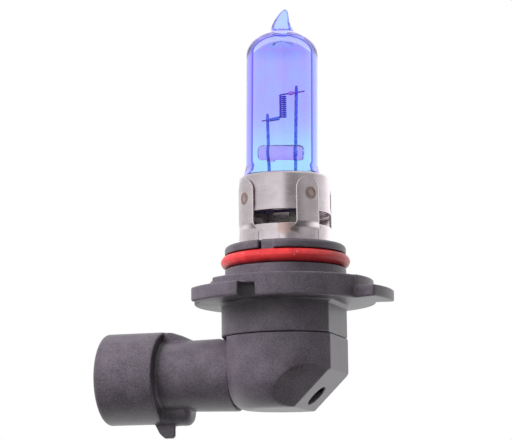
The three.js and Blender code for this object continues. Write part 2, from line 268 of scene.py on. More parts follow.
def collarSteel():
    finish, _, colour, roughness, lines = drawnSteel("collarSteel", collarLook)
    return finish.surface({
        "Base Color": colour, "Metallic": 1.0, "Roughness": roughness,
        "Normal": finish.relief(lines, collarLook["relief"])})


# The sleeve is brighter; its lap weld left a copper tint and each spot weld a brown ring
sleeveLook = {"dull": (0.60, 0.53, 0.56), "bright": (0.73, 0.66, 0.69), "roughness": 0.2, "relief": 0.004,
              "tint": (0.60, 0.40, 0.37), "soot": (0.16, 0.12, 0.12), "ring": (0.27, 0.165, 0.125),
              "tintReach": 1.9, "spotRadius": 1.0}


def sleeveSteel(weldSpots, lapPoint, sootPoint):
    finish, place, colour, roughness, lines = drawnSteel("sleeveSteel", sleeveLook)
    patch = finish.grain(place, 1.3, 3.0) - 0.5
    reach = sleeveLook["tintReach"]
    tinted = 1 - finish.between(finish.away(place, lapPoint) + patch * 1.6, reach * 0.45, reach)
    colour = finish.blend(tinted * 0.8, colour, sleeveLook["tint"])
    sooty = 1 - finish.between(finish.away(place, sootPoint) + patch * 1.6, 0.35, 1.15)
    colour = finish.blend(sooty * 0.85, colour, sleeveLook["soot"])
    roughness = roughness + tinted * 0.12 + sooty * 0.25
    radius = sleeveLook["spotRadius"]
    for spot in weldSpots:
        ripple = finish.away(place, spot) + patch * 0.35
        burnt = 1 - finish.between(ripple, radius * 0.95, radius * 1.3)
        core = finish.between(ripple, radius * 0.3, radius * 0.75)
        colour = finish.blend(burnt * (0.45 + core * 0.35 + patch * 0.6), colour, sleeveLook["ring"])
        roughness = roughness + burnt * 0.1
    return finish.surface({
        "Base Color": colour, "Metallic": 1.0, "Roughness": roughness,
        "Normal": finish.relief(lines, sleeveLook["relief"])})


# Blue absorbing glass, patchy in soft upright streaks and more violet where it is seen edge on
tintLook = {"sky": (0.57, 0.645, 0.98), "lilac": (0.635, 0.58, 0.985), "low": (0.60, 0.82, 0.985),
            "dome": (0.44, 0.50, 0.95), "tip": (0.46, 0.62, 0.96), "foot": (0.66, 0.34, 0.96),
            "leftWall": (0.20, 0.17, 0.90), "rightWall": (0.17, 0.26, 0.92), "line": (0.05, 0.02, 0.80),
            "paintedDomeHighlight": (0.72, 0.38, 0.95), "paintedRimLight": (0.24, 0.20, 0.52), "gloss": (0.66, 0.62, 1.0, 1.0),
            "wallStart": 0.44, "shell": 6.03, "domeFoot": 42.2, "domeSquash": 1.42,
            "streak": (0.16, 0.16, 0.05), "patch": 0.34}


def tintedGlass():
    finish = newFinish("tintedGlass")
    place = finish.place()
    streaks = finish.grain(finish.stretched(place, tintLook["streak"]), 3.0, 2.0)
    patches = finish.grain(place, tintLook["patch"], 3.0)
    mottle = finish.between(streaks * 0.6 + patches * 0.4, 0.40, 0.60)
    colour = finish.blend(mottle, tintLook["sky"], tintLook["lilac"])
    x, y, height = finish.apart(place)
    colour = finish.blend(1 - finish.between(height, 22.0, 33.0), colour, tintLook["low"])
    seated = 1 - finish.between(height + (patches - 0.5) * 1.6, 18.2, 18.8)
    colour = finish.blend(seated * 0.8, colour, tintLook["foot"])
    aloft = finish.between(height, 42.0, 45.0)
    colour = finish.blend(aloft, colour, tintLook["dome"])
    colour = finish.blend(finish.between(height, 46.4, 48.0), colour, tintLook["tip"])
    # The wall shows as a deeper band, and only the outer skin carries it
    raised = (height - tintLook["domeFoot"]) * tintLook["domeSquash"] * finish.between(
        height, tintLook["domeFoot"] - 0.1, tintLook["domeFoot"] + 0.1)
    outward = (x * x + y * y + raised * raised) ** 0.5
    outer = finish.between(outward, tintLook["shell"], tintLook["shell"] + 0.1)
    facing = finish.node("ShaderNodeLayerWeight", None, {"Blend": 0.5}, output="Facing")
    start = tintLook["wallStart"]
    wall = finish.blend(finish.between(x, -2.0, 3.0), tintLook["leftWall"], tintLook["rightWall"])
    colour = finish.blend(outer * finish.between(facing, start - 0.02, start + 0.02), colour, wall)
    line = finish.between(facing, start - 0.03, start)
    line *= 1 - finish.between(facing, start + 0.02, start + 0.1)
    colour = finish.blend(outer * line, colour, tintLook["line"])
    # Painted highlight: a pink arch on the inner surface at the top of the dome
    highlightArch = finish.between(height, 44.2, 44.5) * (1 - finish.between(height, 44.9, 45.2))
    colour = finish.blend((1 - outer) * highlightArch * 0.7, colour, tintLook["paintedDomeHighlight"])
    # Painted light: a faint lilac emission on the outer skin near the dome and near the foot, where it is
    # seen half edge on, lifts the dark rim there
    ends = aloft * (1 - finish.between(height, 47.0, 47.6)) + (1 - finish.between(height, 20.0, 21.5))
    paintedRimLight = outer * ends * finish.between(facing, 0.48, 0.68)
    return finish.surface({
        "Base Color": colour, "Roughness": 0.0, "IOR": 1.46, "Transmission Weight": 1.0,
        "Specular Tint": tintLook["gloss"],
        "Emission Color": finish.blend(paintedRimLight, (0.0, 0.0, 0.0), tintLook["paintedRimLight"]), "Emission Strength": 1.0})


clearLook = {"lilac": (1.0, 0.46, 1.0), "clear": (1.0, 0.56, 1.0), "smoke": (0.36, 0.33, 0.33)}


def clearGlass(name, first, second, roughness=0.0):
    finish = newFinish(name)
    patches = finish.grain(finish.place(), 0.6, 2.0)
    colour = finish.blend(finish.between(patches, 0.35, 0.65), first, second)
    return finish.surface({
        "Base Color": colour, "Roughness": roughness, "IOR": 1.46, "Transmission Weight": 1.0})


# Wires, strips and foils: a metal colour that wanders between two tones, with drawn lines
def plainMetal(name, dark, light, roughness, lineScale=9.0):
    finish = newFinish(name)
    place = finish.place()
    cloud = finish.grain(place, 1.4, 3.0)
    lines = finish.grain(finish.stretched(place, (1.0, 1.0, 0.12)), lineScale, 2.0)
    colour = finish.blend(finish.between(cloud, 0.35, 0.65), dark, light)
    return finish.surface({
        "Base Color": colour, "Metallic": 1.0, "Roughness": roughness + (lines - 0.5) * 0.2,
        "Normal": finish.relief(lines, 0.006)})


# Moulded or cast insulating stuffs: rubber, ceramic, resin
def plainCast(name, dark, light, roughness, scale, dust=0.0, gloss=0.5, relief=0.01):
    finish = newFinish(name)
    place = finish.place()
    cloud = finish.grain(place, scale, 3.0)
    speck = finish.grain(place, 3.4, 2.0)
    colour = finish.blend(finish.between(cloud, 0.35, 0.65), dark, light)
    if dust:
        motes = finish.between(finish.grain(place, 3.6, 0.0), 0.83, 0.85)
        colour = finish.blend(motes * dust, colour, (0.75, 0.68, 0.68))
    return finish.surface({
        "Base Color": colour, "Roughness": roughness + (speck - 0.5) * 0.16, "Specular IOR Level": gloss,
        "Normal": finish.relief(speck, relief)})


# Solids are made as bmeshes in millimetres
def bridge(bm, lower, upper):
    count = max(len(lower), len(upper))
    for i in range(count):
        j = (i + 1) % count
        if len(lower) == 1:
            bm.faces.new((lower[0], upper[j], upper[i]))
        elif len(upper) == 1:
            bm.faces.new((lower[i], lower[j], upper[0]))
        else:
            bm.faces.new((lower[i], lower[j], upper[j], upper[i]))


def solid(loops, closed=False):  # skins a row of loops; a loop of one point is a tip
    bm = bmesh.new()
    rows = [[bm.verts.new(point) for point in loop] for loop in loops]
    for lower, upper in zip(rows, rows[1:]):
        bridge(bm, lower, upper)
    if closed:
        bridge(bm, rows[-1], rows[0])
    else:
        for row in (rows[0], rows[-1]):
            if len(row) > 2:
                bm.faces.new(row)
    bmesh.ops.recalc_face_normals(bm, faces=bm.faces)
    return bm


def lathe(profile, segments=144, closed=False, centre=(0.0, 0.0)):
    loops = []
    for radius, z in profile:
        turns = segments if radius > 1e-5 else 1
        loops.append([Vector((*centre, 0)) + polar(radius, 360 * k / turns, z) for k in range(turns)])
    return solid(loops, closed)


def rounded(corners, steps=5, closed=False):
    # Corners are (x, y, radius), and an arc takes the place of each corner that has a radius
    points = []
    for i, (x, y, radius) in enumerate(corners):
        here = Vector((x, y))
        if radius <= 0 or (not closed and i in (0, len(corners) - 1)):
            points.append(here)
            continue
        before = Vector(corners[i - 1][:2]) - here
        after = Vector(corners[(i + 1) % len(corners)][:2]) - here
        half = before.angle(after) / 2
        reach = min(radius / math.tan(half), 0.49 * before.length, 0.49 * after.length)
        start = here + before.normalized() * reach
        end = here + after.normalized() * reach
        middle = (before.normalized() + after.normalized()).normalized()
        centre = here + middle * reach / math.cos(half)
        first = math.atan2(*(start - centre).yx)
        turn = math.remainder(math.atan2(*(end - centre).yx) - first, 2 * math.pi)
        size = (start - centre).length
        for k in range(steps + 1):
            angle = first + turn * k / steps
            points.append(centre + Vector((math.cos(angle), math.sin(angle))) * size)
    return [tuple(point) for point in points]


def insetOutline(outline, amount):
    inset = []
    for i, here in enumerate(outline):
        before = (Vector(here) - Vector(outline[i - 1])).normalized()
        after = (Vector(outline[(i + 1) % len(outline)]) - Vector(here)).normalized()
        normals = [Vector((-way.y, way.x)) for way in (before, after)]
        push = (normals[0] + normals[1]) / (1 + normals[0].dot(normals[1]))
        inset.append(Vector(here) + push * amount)
    return inset


def plate(outline, bottom, top, edge=0.25, steps=3):  # the outline runs anticlockwise
    loops = []
    for k in range(steps + 1):
        angle = math.pi / 2 * k / steps
        level = insetOutline(outline, edge * (1 - math.sin(angle)))
        loops.append([Vector((*point, bottom + edge * (1 - math.cos(angle)))) for point in level])
    upper = [[Vector((point.x, point.y, bottom + top - point.z)) for point in loop] for loop in loops]
    return solid(loops + upper[::-1])


def box(low, high):
    bm = bmesh.new()
    bmesh.ops.create_cube(bm, size=1.0)
    low, high = Vector(low), Vector(high)
    bmesh.ops.transform(bm, verts=bm.verts, matrix=Matrix.Translation((low + high) / 2)
                        @ Matrix.Diagonal((*(high - low), 1)))
    return bm


def moved(bm, matrix):
    bmesh.ops.transform(bm, verts=bm.verts, matrix=matrix)
    return bm


def turnedZ(bm, degrees):
    return moved(bm, Matrix.Rotation(math.radians(degrees), 4, "Z"))


def beyond(normal, offset):  # a big block on the far side of a plane
    block = box((-60, -60, 0), (60, 60, 60))
    turn = Vector((0, 0, 1)).rotation_difference(Vector(normal).normalized()).to_matrix().to_4x4()
    return moved(block, turn @ Matrix.Translation((0, 0, offset)))


def sweep(points, radius, sides=12):
    # A round wire; radius may be a function of how far along it is, from 0 to 1
    loops = []
    points = [Vector(point) for point in points]
    way = (points[1] - points[0]).normalized()
    side = way.orthogonal().normalized()
    for i, point in enumerate(points):
        ahead = points[min(i + 1, len(points) - 1)] - points[max(i - 1, 0)]
        side = (side - ahead * side.dot(ahead) / ahead.length_squared).normalized()
        other = ahead.normalized().cross(side)
        size = radius(i / (len(points) - 1)) if callable(radius) else radius
        turns = [2 * math.pi * k / sides for k in range(sides)]
        loops.append([point + (side * math.cos(t) + other * math.sin(t)) * size for t in turns])
    return solid(loops)


def curved(points, steps):
    points = [Vector(point) for point in points]
    padded = [2 * points[0] - points[1], *points, 2 * points[-1] - points[-2]]
    path = []
    for a, b, c, d in zip(padded, padded[1:], padded[2:], padded[3:]):
        for k in range(steps):
            t = k / steps
            path.append(0.5 * (2 * b + (c - a) * t + (2 * a - 5 * b + 4 * c - d) * t * t
                               + (3 * b - a - 3 * c + d) * t ** 3))
    return [*path, points[-1]]


def asObject(bm, name):
    mesh = bpy.data.meshes.new(name)
    bm.to_mesh(mesh)
    bm.free()
    made = bpy.data.objects.new(name, mesh)
    scene.collection.objects.link(made)
    return made


def evaluated(made):  # the mesh with its modifiers, as a new bmesh; the object goes
    graph = bpy.context.evaluated_depsgraph_get()
    bm = bmesh.new()
    bm.from_mesh(made.evaluated_get(graph).to_mesh())
    drop(made)
    return bm


def drop(made):
    mesh = made.data
    bpy.data.objects.remove(made)
    bpy.data.meshes.remove(mesh)


def carved(base, joined=(), removed=(), kept=()):
    body = asObject(base, "body")
    tools = []
    for operation, group in (("UNION", joined), ("DIFFERENCE", removed), ("INTERSECT", kept)):
        for tool in group:
            tools.append(asObject(tool, "tool"))
            step = body.modifiers.new("step", "BOOLEAN")
            step.operation = operation
            step.solver = "MANIFOLD"
            step.object = tools[-1]
    result = evaluated(body)
    for tool in tools:
        drop(tool)
    return result


def moulded(bm, voxel=0.2, passes=4, keep=0.4):
    # Melts the joined solids into one skin whose edges are a little soft, as moulded edges are
    body = asObject(bm, "body")
    melt = body.modifiers.new("melt", "REMESH")
    melt.mode = "VOXEL"
    melt.voxel_size = voxel
    soften = body.modifiers.new("soften", "SMOOTH")
    soften.factor = 0.5
    soften.iterations = passes
    thin = body.modifiers.new("thin", "DECIMATE")
    thin.ratio = keep
    return evaluated(body)


def piece(name, bm, finishes, stands=(), sharp=35):
    bmesh.ops.scale(bm, vec=(mm, mm, mm), verts=bm.verts)
    made = asObject(bm, name)
    made.data.shade_smooth()
    if sharp:
        made.data.set_sharp_from_angle(angle=math.radians(sharp))
    for finish in finishes:
        made.data.materials.append(finish)
    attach(made, "root")
    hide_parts(*stands)
    print(f"{name}: {len(made.data.polygons)} faces")
    return made


# Burner glass: a straight tube with a low dome, a bent seal-off tip and a flat pinch below
glassLow, glassHigh = nodeBox("glass_envelope")
tube = {"radius": 6.6, "wall": 1.1, "shoulder": 7.12, "shoulderBottom": 17.2, "pinch": (12.4, 3.6),
        "domeBase": 42.5, "domeRise": 4.55, "innerBase": 42.0, "innerRise": 3.6, "dip": 0.75,
        "dipReach": 1.7, "floor": 17.9, "aside": -0.42, "lean": 0.84, "leanFrom": 20.0}
# The tip's rings: height, centre towards the right of the front, half width, half depth
tipRings = [(46.6, -0.05, 2.35, 2.35), (47.3, -0.1, 2.1, 2.05), (47.9, -0.22, 1.88, 1.8),
            (48.5, -0.32, 1.68, 1.5), (49.0, -0.2, 1.42, 1.2), (49.7, -0.02, 1.2, 1.05),
            (50.4, 0.16, 0.92, 0.85), (51.0, 0.36, 0.58, 0.55), (51.3, 0.47, 0.3, 0.3)]


def glassDome(radius, base, rise, steps=22, dip=0.0):
    points = []
    for k in range(steps + 1):
        angle = math.pi / 2 * k / steps
        r = radius * math.cos(angle) if k < steps else 0.0
        lowered = dip * (1 - smoothStep(0, tube["dipReach"], r))
        points.append((r, base + rise * math.sin(angle) - lowered))
    return points


def glassTube():
    bottom = tube["shoulderBottom"]
    outside = rounded([
        (0, bottom, 0), (tube["shoulder"] - 0.4, bottom, 1.0), (tube["shoulder"], bottom + 1.9, 1.2),
        (tube["shoulder"] - 0.05, bottom + 2.7, 1.2), (tube["radius"], bottom + 4.3, 3.0),
        (tube["radius"], tube["domeBase"] - 3, 0)])
    outside += glassDome(tube["radius"], tube["domeBase"], tube["domeRise"])
    bore = tube["radius"] - tube["wall"]
    inside = rounded([
        (0, tube["floor"], 0), (bore - 0.9, tube["floor"] + 0.25, 1.0), (bore, tube["floor"] + 1.9, 1.5),
        (bore, tube["innerBase"] - 3, 0)])
    inside += glassDome(bore, tube["innerBase"], tube["innerRise"], dip=tube["dip"])
    sides = 48
    tip = []
    for height, lean, wide, deep in [*tipRings, (glassHigh.z, 0.54, 0, 0)]:
        centre = viewLevel * (lean + 0.1) + Vector((0, 0, height))
        across = Vector((-viewLevel.y, viewLevel.x, 0))
        turns = [2 * math.pi * k / sides for k in range(sides if wide else 1)]
        tip.append([centre + viewLevel * wide * math.cos(t) + across * deep * math.sin(t) for t in turns])
    wide, thick = (size / 2 for size in tube["pinch"])
    outline = rounded([(-wide, -thick, 0.7), (wide, -thick, 0.7), (wide, thick, 0.7), (-wide, thick, 0.7)],
                      closed=True)
    pinch = plate(outline, glassLow.z, bottom + 0.6, 0.4)
    whole = carved(lathe(outside), joined=[solid(tip), pinch], removed=[lathe(inside)])
    # The glass stands a little askew in its collar
    foot = Vector((0, 0, tube["leanFrom"]))
    lean = Matrix.Rotation(math.radians(tube["lean"]), 4, Vector((-viewLevel.y, viewLevel.x, 0)))
    middle = Vector((burnerX, 0, 0)) + viewLevel * tube["aside"]
    return moved(whole, Matrix.Translation(middle + foot) @ lean @ Matrix.Translation(-foot))


def softened(bm, above, passes):  # melts the joint between dome and tip
    near = [vert for vert in bm.verts if vert.co.z > above]
    for _ in range(passes):
        bmesh.ops.smooth_vert(bm, verts=near, factor=0.4, use_axis_x=True, use_axis_y=True, use_axis_z=True)
    return bm


glassMesh = softened(glassTube(), tube["domeBase"] + tube["domeRise"] - 0.9, 4)
glassPiece = piece("glassTube", glassMesh,
                   [tintedGlass(), clearGlass("pinchGlass", clearLook["smoke"], clearLook["smoke"], 0.12)],
                   ["glass_envelope"], sharp=50)
for face in glassPiece.data.polygons:
    if face.center.z < (tube["shoulderBottom"] - 0.05) * mm:
        face.material_index = 1
print("glass ready")


# Posts, coil and bar inside the glass
molybdenum = plainMetal("molybdenum", (0.10, 0.17, 0.74), (0.20, 0.34, 0.92), 0.3)
wireLook = {"coil": (0.03, 0.008, 0.62), "warm": (0.10, 0.04, 0.85), "leg": (0.60, 0.16, 0.72), "turn": 1.1}


def coilWire():  # dark on the coil, rosy on the straight legs
    finish = newFinish("tungsten")
    place = finish.place()
    cloud = finish.grain(place, 2.2, 2.0)
    x, _, _ = finish.apart(place)
    colour = finish.blend(finish.between(cloud, 0.35, 0.65), wireLook["coil"], wireLook["warm"])
    outside = finish.between((x * x) ** 0.5, wireLook["turn"], wireLook["turn"] + 0.5)
    colour = finish.blend(outside * 0.7, colour, wireLook["leg"])
    return finish.surface({"Base Color": colour, "Metallic": 1.0, "Roughness": 0.35 + cloud * 0.2})


postLook = {"radius": 0.3, "stub": 14.3}


def postPiece(name, node, towards):
    low, high = nodeBox(node)
    radius = postLook["radius"]
    footX, topX = (low.x + radius, high.x - radius) if towards > 0 else (high.x - radius, low.x + radius)
    floor = tube["floor"]
    across, rise = topX - footX, high.z - floor
    path = curved([(footX, 0, postLook["stub"]), (footX, 0, floor - 0.6), (footX, 0, floor + 0.8),
                   (footX + across * 0.3, 0, floor + rise * 0.34),
                   (footX + across * 0.62, 0, floor + rise * 0.66), (topX, 0, high.z - 0.12)], 8)
    wire = sweep(path, lambda t: radius * (1 if t < 0.985 else 0.7), 16)
    piece(name, wire, [molybdenum], [node], sharp=50)


postPiece("longPost", "long_support_post", 1)
postPiece("shortPost", "short_support_post", -1)

coilLow, coilHigh = nodeBox("filament")
coil = {"x": -0.08, "radius": 0.56, "wire": 0.13, "turns": 11, "perTurn": 20, "bottom": 30.7, "top": 34.9,
        "legY": -0.56}


def filament():
    y, top, bottom = coil["legY"], coil["top"], coil["bottom"]
    points = [(coilHigh.x - burnerX, y, top + 0.34), (3.0, y, top + 0.22), (1.6, y, top + 0.12),
              (0.7, y, top + 0.06)]
    total = coil["turns"] * coil["perTurn"]
    for i in range(total + 1):
        angle = -math.pi / 2 - 2 * math.pi * i / coil["perTurn"]
        points.append((coil["x"] + coil["radius"] * math.cos(angle), coil["radius"] * math.sin(angle),
                       top - (top - bottom) * i / total))
    points += [(-0.9, y, bottom - 0.16), (-1.8, y, bottom - 0.3), (coilLow.x - burnerX, y, bottom - 0.5)]
    return moved(sweep(points, coil["wire"], 10), Matrix.Translation((burnerX, 0, 0)))


piece("coil", filament(), [coilWire()], ["filament"], sharp=60)

legTube = {"upper": (0.36, 0.9, 0.30), "lower": (0.30, 2.0, 0.36)}


def legSleeve(name, node, finish, x, z, slope, shape):
    radius, length, end = shape
    profile = rounded([(0.0, -length / 2, 0), (radius, -length / 2, 0.1), (end, length / 2, 0.1),
                       (0.0, length / 2, 0)], 3)
    lying = Matrix.Rotation(math.pi / 2 + slope, 4, "Y")
    lying = Matrix.Translation((burnerX + x, coil["legY"], z)) @ lying
    piece(name, moved(lathe(profile, 24), lying), [finish], [node], sharp=50)


rosyMetal = plainMetal("rosyMetal", (0.75, 0.28, 0.85), (0.92, 0.42, 0.95), 0.35)
legSleeve("upperLegSleeve", "upper_leg_sleeve", rosyMetal, 1.7, coil["top"] + 0.13, -0.06,
          legTube["upper"])
legSleeve("lowerLegSleeve", "lower_leg_sleeve", molybdenum, -1.6, coil["bottom"] - 0.32, -0.12,
          legTube["lower"])

barLow, barHigh = nodeBox("bridge_bar")
bar = {"radius": 1.55, "tilt": 3.5, "droplet": (-1.9, -1.75, 0.62)}


def bridgeBar():
    middle = (barLow + barHigh) / 2
    half = (barHigh.x - barLow.x) / 2 - 0.1
    radius = bar["radius"]
    profile = rounded([(0, -half, 0), (radius * 0.82, -half + 0.12, 0.4), (radius, -half + 0.9, 0.5),
                       (radius, half - 0.9, 0.5), (radius * 0.82, half - 0.12, 0.4), (0, half, 0)])
    lying = Matrix.Translation(middle) @ Matrix.Rotation(math.pi / 2 + math.radians(bar["tilt"]), 4, "Y")
    x, z, size = bar["droplet"]
    droplet = bmesh.new()
    bmesh.ops.create_uvsphere(droplet, u_segments=32, v_segments=20, radius=size)
    moved(droplet, Matrix.Translation(middle + Vector((x, 0, z))) @ Matrix.Diagonal((1.35, 1.0, 0.85, 1)))
    return carved(moved(lathe(profile, 96), lying), joined=[droplet])


barGlass = clearGlass("barGlass", clearLook["lilac"], clearLook["clear"])
piece("bridgeBar", bridgeBar(), [barGlass], ["bridge_bar"], sharp=50)

nickel = plainMetal("nickelWire", (0.52, 0.50, 0.48), (0.66, 0.64, 0.62), 0.28)
foilMetal = plainMetal("sealFoil", (0.40, 0.38, 0.36), (0.58, 0.56, 0.55), 0.3)
ceramic = plainCast("ceramic", (0.60, 0.57, 0.50), (0.74, 0.71, 0.65), 0.6, 1.2)


def foilPiece(name, node):
    low, high = nodeBox(node)
    wide = (high.x - low.x) / 2
    outline = rounded([(-wide, low.z, 0.35), (wide, low.z, 0.35), (wide, high.z, 0.35),
                       (-wide, high.z, 0.35)], closed=True)
    strip = plate(outline, -0.08, 0.08, 0.06)
    standing = Matrix.Translation(((low.x + high.x) / 2, 0, 0)) @ Matrix.Rotation(math.pi / 2, 4, "X")
    piece(name, moved(strip, standing), [foilMetal], [node])


for side in ("front", "rear"):
    foilPiece(f"{side}Foil", f"{side}_seal_foil")


# The outer leads leave the pinch and run down beside the terminals
leadLook = {"radius": 0.35, "bend": 0.2}


def leadPiece(name, node, footX, endX, endY):
    low, high = nodeBox(node)
    path = curved([(footX, 0, high.z - 0.1), (footX, 0, 4.5), (footX, 0, 2.0),
                   ((footX + endX) / 2, endY / 2, leadLook["bend"]), (endX, endY, -2.0), (endX, endY, -5.0),
                   (endX, endY, low.z + 0.1)], 8)
    piece(name, sweep(path, leadLook["radius"], 16), [nickel], [node], sharp=50)


def insulatorPiece(name, node):
    low, high = nodeBox(node)
    middle = (low + high) / 2
    outer = (high.x - low.x) / 2
    profile = rounded([(outer - 0.3, low.z, 0.08), (outer, low.z, 0.12), (outer, high.z, 0.12),
                       (outer - 0.3, high.z, 0.08)], 3, closed=True)
    sheath = lathe(profile, 40, closed=True, centre=(middle.x, middle.y))
    piece(name, sheath, [ceramic], [node])


for side in ("front", "rear"):
    tubeLow, tubeHigh = nodeBox(f"{side}_lead_insulator")
    terminalLow, terminalHigh = nodeBox(f"{side}_terminal")
    strip = (terminalLow + terminalHigh) / 2
    inward = 1.1 if strip.y < 0 else -1.1
    leadPiece(f"{side}Lead", f"{side}_outer_lead", (tubeLow.x + tubeHigh.x) / 2, terminalHigh.x - 1.0,
              strip.y + inward)
    insulatorPiece(f"{side}LeadInsulator", f"{side}_lead_insulator")
print("burner ready")


# Collar: drawn sheet, a soft shoulder above and a slight flare at its lower edge
collar = {"sheet": 0.4, "shoulder": 1.25, "mouth": 7.25, "flare": 0.16, "flareHeight": 1.3}
collarRadius = (collarHigh.x - collarLow.x) / 2


def bulbCollar():
    bottom, top = collarLow.z, collarHigh.z
    thick = collar["sheet"]
    outer = rounded([
        (collarRadius + collar["flare"], bottom, 0), (collarRadius, bottom + collar["flareHeight"], 1.4),
        (collarRadius, top, collar["shoulder"]), (collar["mouth"], top + 0.12, 0)], 9)
    bore = collarRadius - thick
    inner = rounded([
        (collar["mouth"], top - thick + 0.12, 0), (bore, top - thick, collar["shoulder"] - thick),
        (bore, bottom + collar["flareHeight"], 1.0), (bore + collar["flare"], bottom, 0)], 9)
    return lathe([*outer, *inner], 192, closed=True, centre=(burnerX, 0))


steel = collarSteel()
collarPiece = piece("bulbCollar", bulbCollar(), [steel], ["bulb_collar"])
rim = collarPiece.modifiers.new("rim", "BEVEL")
rim.width = 0.08 * mm
rim.segments = 2
rim.limit_method = "ANGLE"

clipLow, clipHigh = nodeBox("pinch_clip")
clip = {"slotGap": 0.25, "lipHeight": 0.7}


def pinchClip():
    radius = (clipHigh.x - clipLow.x) / 2
    lip = clipHigh.z + clip["lipHeight"]
    profile = rounded([(0, clipLow.z, 0), (radius, clipLow.z, 0.3), (radius, lip, 0.15),
                       (radius - 0.4, lip, 0.15), (radius - 0.4, clipHigh.z, 0.3), (0, clipHigh.z, 0)], 4)
    wide, thick = (size / 2 + clip["slotGap"] for size in tube["pinch"])
    slot = box((-wide, -thick, clipLow.z - 1), (wide, thick, clipHigh.z + 2))
    return moved(carved(lathe(profile, 96), removed=[slot]), Matrix.Translation((burnerX, 0, 0)))


piece("pinchClip", pinchClip(), [steel], ["pinch_clip"])


# Sleeve with four fingers: each steps out from the tube and lies on the collar, held by a spot weld
sleeveLow, sleeveHigh = nodeBox("finger_sleeve")
sleeve = {"sheet": 0.4, "radius": 8.4, "top": 10.0, "fingerRadius": 8.84, "root": 9.0, "jog": 1.5,
          "width": 4.6, "angles": (-130, -45, 45, 135), "lapAngle": -81, "lapStep": 0.13, "edge": 0.09,
          "weld": 0.07, "foot": 1.1}
weldSpots = [(-129.4, 14.9), (-41.8, 15.4), (46.0, 15.2), (134.0, 15.0)]


def sleeveRadius(z):
    step = smoothStep(sleeve["root"], sleeve["root"] + sleeve["jog"], z)
    return sleeve["radius"] + (sleeve["fingerRadius"] - sleeve["radius"]) * step


def weldBump(angle, z):  # rings raised by the spot welds
    lift = 0.0
    for degrees, height in weldSpots:
        gap = math.radians(math.remainder(angle - degrees, 360)) * sleeve["fingerRadius"]
        reach = math.hypot(gap / 0.92, (z - height) / 1.12)
        lift += sleeve["weld"] * (math.exp(-((reach - 0.95) / 0.16) ** 2)
                                  + 0.8 * math.exp(-((reach - 0.45) / 0.14) ** 2)
                                  - 1.1 * math.exp(-((reach - 0.7) / 0.12) ** 2))
    return lift


def finger(middle):
    # Loops across the finger, from below its root to its round end
    half, thick, edge = sleeve["width"] / 2, sleeve["sheet"], sleeve["edge"]
    top = sleeveHigh.z
    start = sleeve["root"] - 0.35
    heights = [start + (top - half - start) * k / 40 for k in range(41)]
    heights += [top - half + half * math.sin(math.pi / 2 * k / 16) for k in range(1, 17)]
    columns = 30
    loops = []
    for z in heights:
        flare = sleeve["foot"] * (1 - smoothStep(start, sleeve["top"] + 0.7, z)) ** 2
        rise = max(z - (top - half), 0.0)
        wide = max(math.sqrt(max(half * half - rise * rise, 0.0)) + flare, 0.004)
        soft = min(edge, wide * 0.5)
        outer, inner = [], []
        for k in range(columns + 1):
            across = math.cos(math.pi * k / columns)
            offset = (wide - soft * 0.4) * across
            angle = middle + math.degrees(offset / sleeve["radius"])
            ease = soft * smoothStep(1 - soft / max(wide, 0.05) * 1.6, 1.0, abs(across))
            radius = sleeveRadius(z)
            outer.append(polar(radius + weldBump(angle, z) - ease, angle, z))
            inner.append(polar(radius - thick + ease, angle, z))
        loops.append(outer + inner[::-1])
    return solid(loops)


def fingerSleeve():
    bottom, top, thick = sleeveLow.z, sleeve["top"], sleeve["sheet"]
    profile = rounded([(sleeve["radius"] - thick, bottom, 0.1), (sleeve["radius"], bottom, 0.12),
                       (sleeve["radius"], top, 0.12), (sleeve["radius"] - thick, top, 0.1)], 3, closed=True)
    barrel = lathe(profile, 240, closed=True)
    for vert in barrel.verts:  # one end of the sheet laps over the other
        angle = math.degrees(math.atan2(vert.co.y, vert.co.x))
        past = math.remainder(angle - sleeve["lapAngle"], 360)
        if 0 <= past < 26:
            lift = sleeve["lapStep"] * (1 - smoothStep(13, 26, past))
            vert.co += Vector((vert.co.x, vert.co.y, 0)).normalized() * lift
    return carved(barrel, joined=[finger(angle) for angle in sleeve["angles"]])


spotPoints = [tuple(polar(sleeve["fingerRadius"], degrees, z) + Vector((burnerX, 0, 0)))
              for degrees, z in weldSpots]
lapPoint = tuple(polar(sleeve["radius"], sleeve["lapAngle"] + 7, 9.3) + Vector((burnerX, 0, 0)))
sootPoint = tuple(polar(sleeve["radius"], sleeve["lapAngle"] + 20, 8.9) + Vector((burnerX, 0, 0)))
sleeveMesh = moved(fingerSleeve(), Matrix.Translation((burnerX, 0, 0)))
piece("fingerSleeve", sleeveMesh, [sleeveSteel(spotPoints, lapPoint, sootPoint)],
      ["finger_sleeve"], sharp=40)
print("metal ready")


# Plastic base: a grooved pilot, a flange in two steps with lugs, and a drum with one flat
base = {"pilot": 11.0, "grooveRadius": 9.3, "groove": (2.6, 5.2), "rimTop": 6.85, "rimRound": 0.8,
        "bore": 8.75, "boreFloor": 0.4, "leadBore": 5.0, "step": -1.7, "under": -3.8, "drum": 11.7,
        "flat": 9.65, "seam": -9.7, "stepTop": 0.35, "fillet": 0.35, "corner": 0.45, "edge": 0.3}
flangeSectors = [(19.6, -22.8, 9), (16.3, 9, 75), (19.5, 75, 140), (16.6, 140, 217),
                 (18.2, 217, 258.6), (15.4, 258.6, 337.2)]
lugPad = {"sectors": [(18.2, 217, 258.6), (12.0, 258.6, 577)], "top": -1.25}
recess = {"from": -8.7, "to": -5.7, "depth": -12.6, "top": -1.4, "turn": 17.1}
stepSectors = [(15.9, -22.8, 30), (13.8, 30, 221), (15.4, 228, 337.2)]
rimTabs = {"angles": (-91.4, 28.6, 148.6), "width": 2.3, "radius": 10.6, "top": 6.6, "slotWidth": 0.5,
           "slotDepth": 1.6}


def sectorOutline(sectors):
    corners = []
    for radius, start, end in sectors:
        count = max(2, round((end - start) * radius / 60))
        for k in range(count + 1):
            point = polar(radius, start + (end - start) * k / count)
            corners.append((point.x, point.y, base["corner"] if k in (0, count) else 0))
    return rounded(corners, 4, closed=True)


